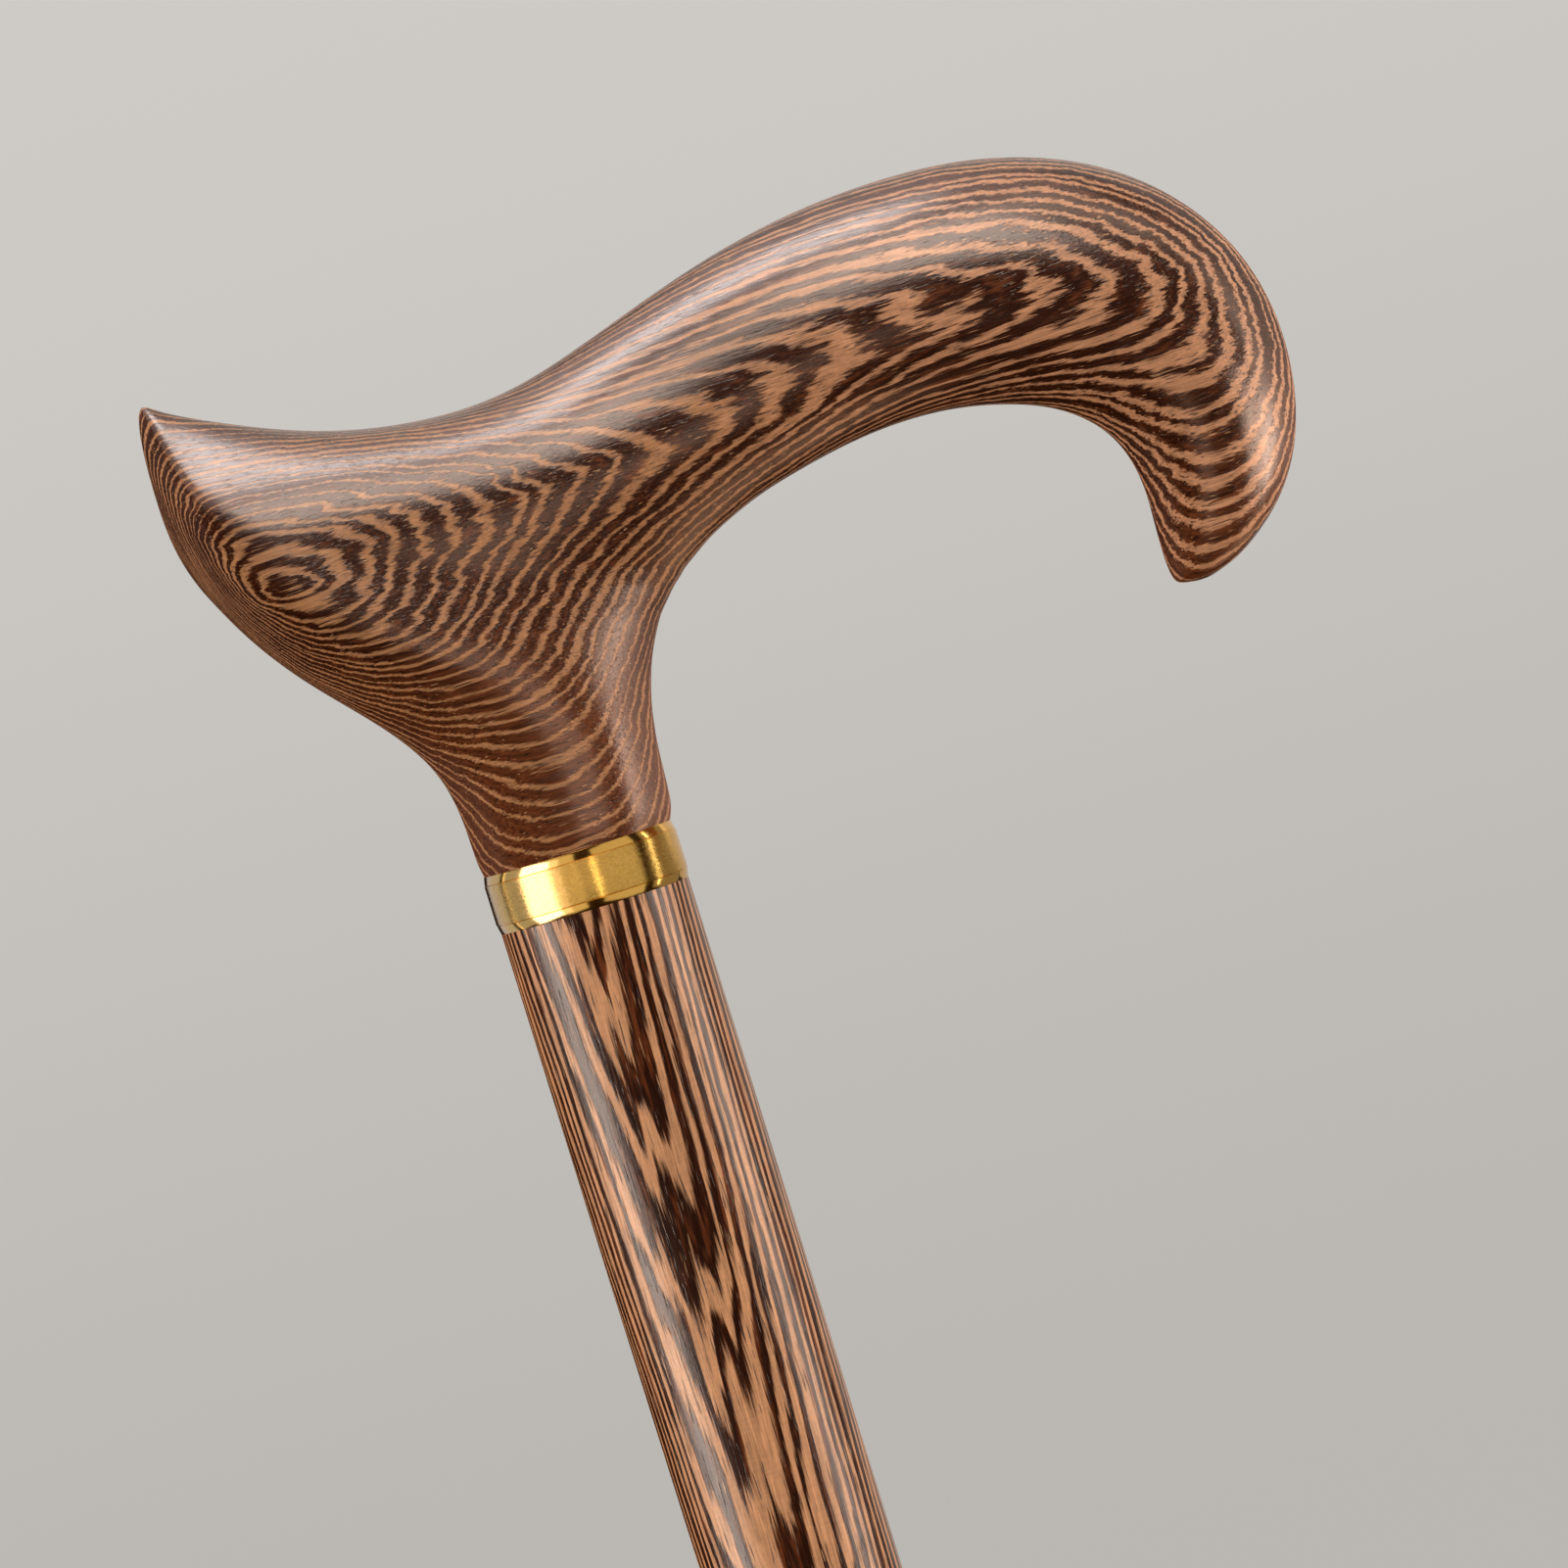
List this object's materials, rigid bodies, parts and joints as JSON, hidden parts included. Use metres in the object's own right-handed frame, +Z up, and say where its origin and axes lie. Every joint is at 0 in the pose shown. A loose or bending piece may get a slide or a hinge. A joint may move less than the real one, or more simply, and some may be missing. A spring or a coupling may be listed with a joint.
{
  "type": "derby handle cane",
  "caption": "Walking cane with a carved derby handle in striped hardwood, a brass collar, a tapered shaft and a rubber tip.",
  "frame": {"origin": "middle of the rubber tip's floor face, on the shaft's axis", "axes": "+Z up the shaft, +X towards the handle's beak; the cane is symmetric about the XZ plane"},
  "size_m": [0.1255, 0.034, 0.92],
  "materials": {
    "handle_wood": "satin oiled wenge",
    "collar_brass": "brushed, with polished edge bands",
    "shaft_wood": "satin oiled wenge",
    "stud_steel": "plain",
    "tip_rubber": "matte moulded",
    "washer_steel": "plain"
  },
  "bodies": {
    "cane": {"handle": "handle_wood", "collar": "collar_brass", "shaft": "shaft_wood", "joint_stud": "stud_steel"},
    "tip": {"rubber_tip": "tip_rubber", "tip_washer": "washer_steel"}
  },
  "joints": [
    {"name": "tip_pull_off", "type": "slide", "parent": "cane", "child": "tip", "axis": [0, 0, -1], "range_m": [0, 0.045]}
  ]
}
